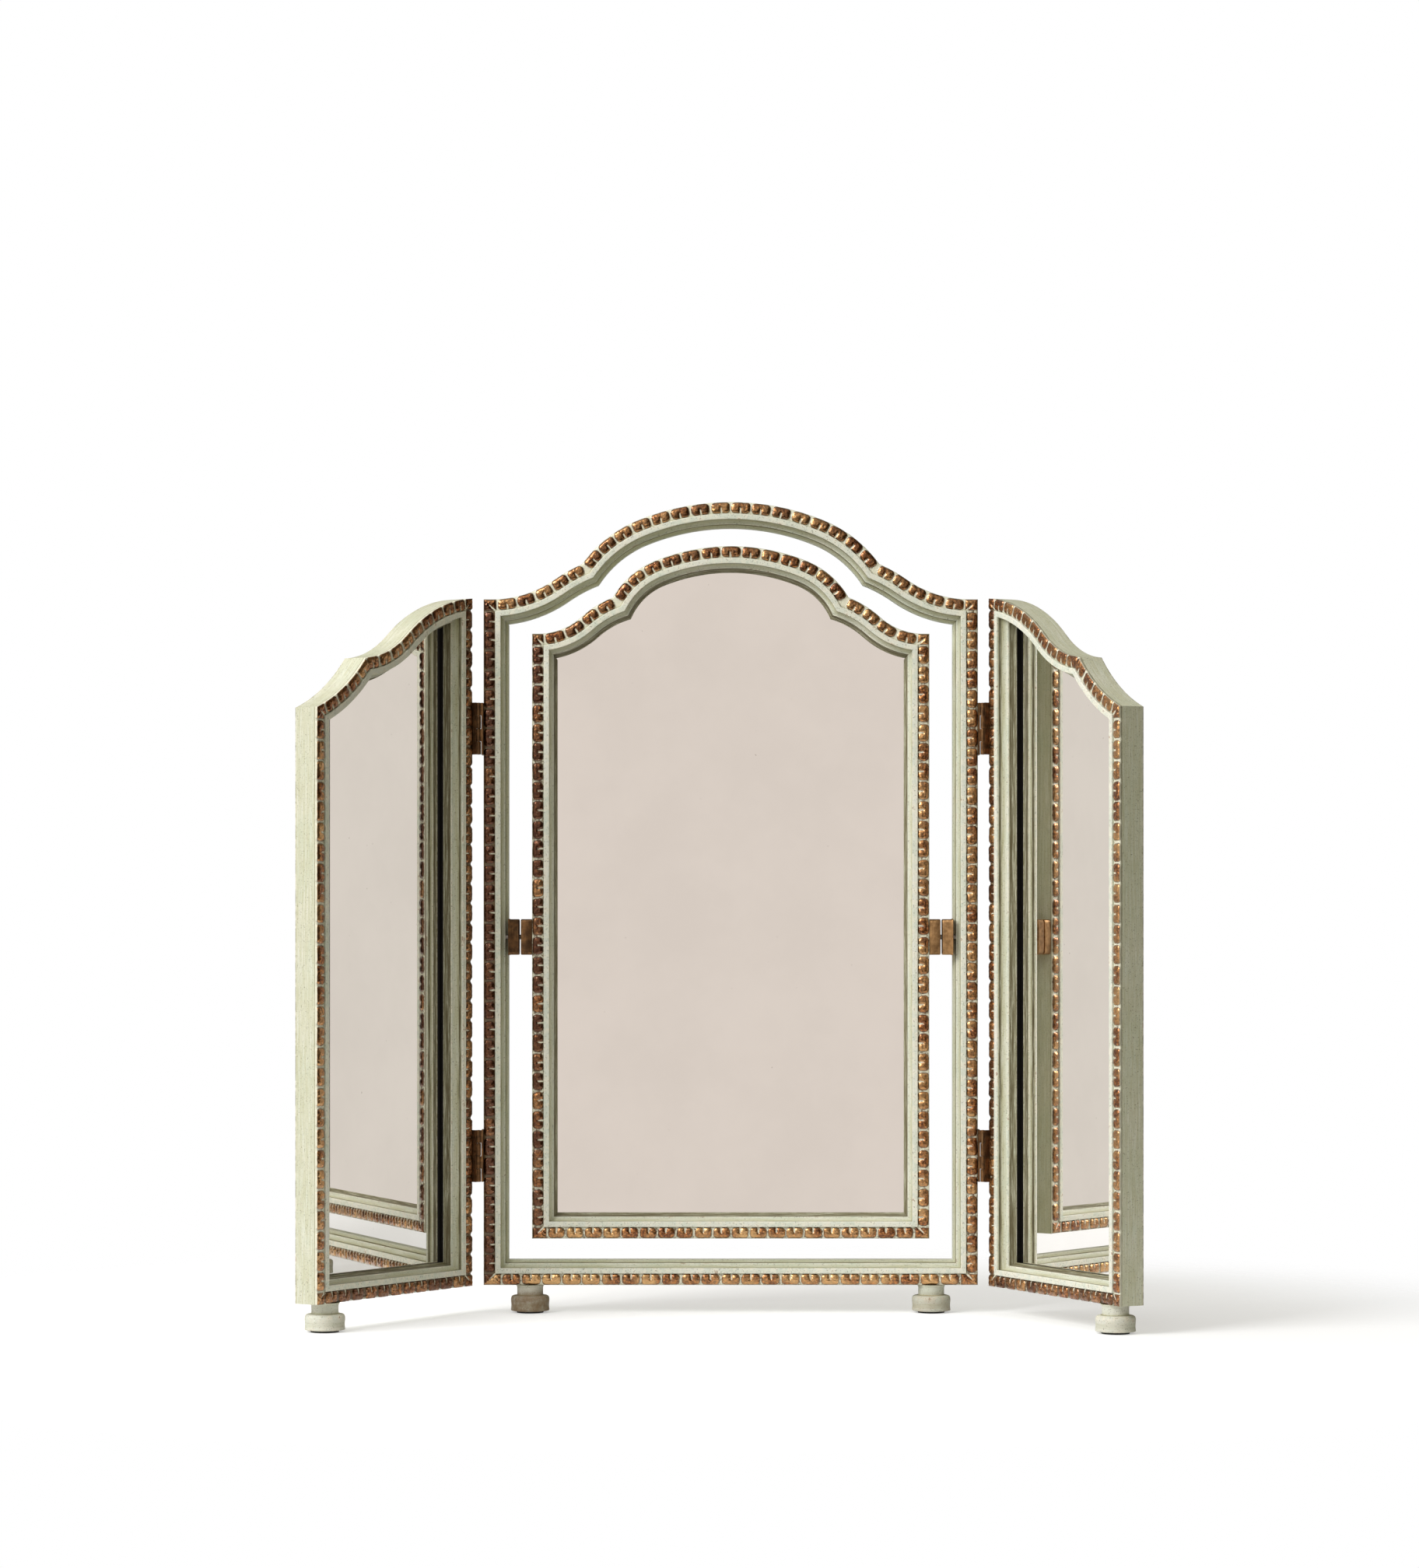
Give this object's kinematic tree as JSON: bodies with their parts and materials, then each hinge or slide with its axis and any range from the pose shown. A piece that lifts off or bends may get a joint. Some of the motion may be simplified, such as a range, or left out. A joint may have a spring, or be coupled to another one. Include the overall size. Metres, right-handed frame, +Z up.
{
  "type": "folding triple table mirror",
  "caption": "Free-standing dressing-table mirror: arched, painted and gilt-beaded frames, a centre mirror that tilts on side pivots, and hinged mirrored wings, all on turned feet.",
  "frame": {"origin": "on the table, under the middle of the box round the whole piece", "axes": "+Z up, the mirrors face -Y, +X to the right as seen from the front"},
  "size_m": [0.7758, 0.2479, 0.783],
  "materials": {
    "painted_wood": "worn pale green paint",
    "gilt_beading": "rubbed copper gilding over carved wood",
    "bronze": "dark bronzed",
    "mirror_glass": "silvered glass",
    "backing_board": "plain brown board",
    "screw_steel": "dull steel",
    "foot_pad": "matt black"
  },
  "bodies": {
    "centre_frame": {"centre_left_stile": "painted_wood", "centre_right_stile": "painted_wood", "centre_top_rail": "painted_wood", "centre_bottom_rail": "painted_wood", "centre_gilt_beading": "gilt_beading", "centre_left_foot": "painted_wood", "centre_right_foot": "painted_wood", "centre_foot_pads": "foot_pad", "left_pivot_frame_block": "bronze", "right_pivot_frame_block": "bronze", "left_pivot_pin": "bronze", "right_pivot_pin": "bronze", "left_upper_hinge_frame_leaf": "bronze", "left_lower_hinge_frame_leaf": "bronze", "right_upper_hinge_frame_leaf": "bronze", "right_lower_hinge_frame_leaf": "bronze", "left_upper_hinge_pin": "bronze", "left_lower_hinge_pin": "bronze", "right_upper_hinge_pin": "bronze", "right_lower_hinge_pin": "bronze", "centre_hinge_screws": "bronze"},
    "tilting_mirror": {"tilt_left_stile": "painted_wood", "tilt_right_stile": "painted_wood", "tilt_top_rail": "painted_wood", "tilt_bottom_rail": "painted_wood", "tilt_gilt_beading": "gilt_beading", "tilt_glass": "mirror_glass", "tilt_backing_board": "backing_board", "tilt_backing_screws": "screw_steel", "left_pivot_mirror_block": "bronze", "right_pivot_mirror_block": "bronze", "left_pivot_bush": "bronze", "right_pivot_bush": "bronze"},
    "left_wing": {"left_wing_inner_stile": "painted_wood", "left_wing_outer_stile": "painted_wood", "left_wing_top_rail": "painted_wood", "left_wing_bottom_rail": "painted_wood", "left_wing_gilt_beading": "gilt_beading", "left_wing_glass": "mirror_glass", "left_wing_backing_board": "backing_board", "left_wing_backing_screws": "screw_steel", "left_wing_foot": "painted_wood", "left_wing_foot_pad": "foot_pad", "left_upper_hinge_wing_leaf": "bronze", "left_lower_hinge_wing_leaf": "bronze", "left_wing_hinge_screws": "bronze"},
    "right_wing": {"right_wing_inner_stile": "painted_wood", "right_wing_outer_stile": "painted_wood", "right_wing_top_rail": "painted_wood", "right_wing_bottom_rail": "painted_wood", "right_wing_gilt_beading": "gilt_beading", "right_wing_glass": "mirror_glass", "right_wing_backing_board": "backing_board", "right_wing_backing_screws": "screw_steel", "right_wing_foot": "painted_wood", "right_wing_foot_pad": "foot_pad", "right_upper_hinge_wing_leaf": "bronze", "right_lower_hinge_wing_leaf": "bronze", "right_wing_hinge_screws": "bronze"}
  },
  "joints": [
    {"name": "mirror_tilt", "type": "hinge", "parent": "centre_frame", "child": "tilting_mirror", "pos_m": [0.01164, 0.10583, 0.3632], "axis": [1, 0, 0], "range_deg": [-15, 15]},
    {"name": "left_wing_hinge", "type": "hinge", "parent": "centre_frame", "child": "left_wing", "pos_m": [-0.23136, 0.08983, 0.1522], "axis": [0, 0, 1], "range_deg": [-64, 65]},
    {"name": "right_wing_hinge", "type": "hinge", "parent": "centre_frame", "child": "right_wing", "pos_m": [0.25464, 0.08983, 0.1522], "axis": [0, 0, -1], "range_deg": [-71, 58]}
  ]
}
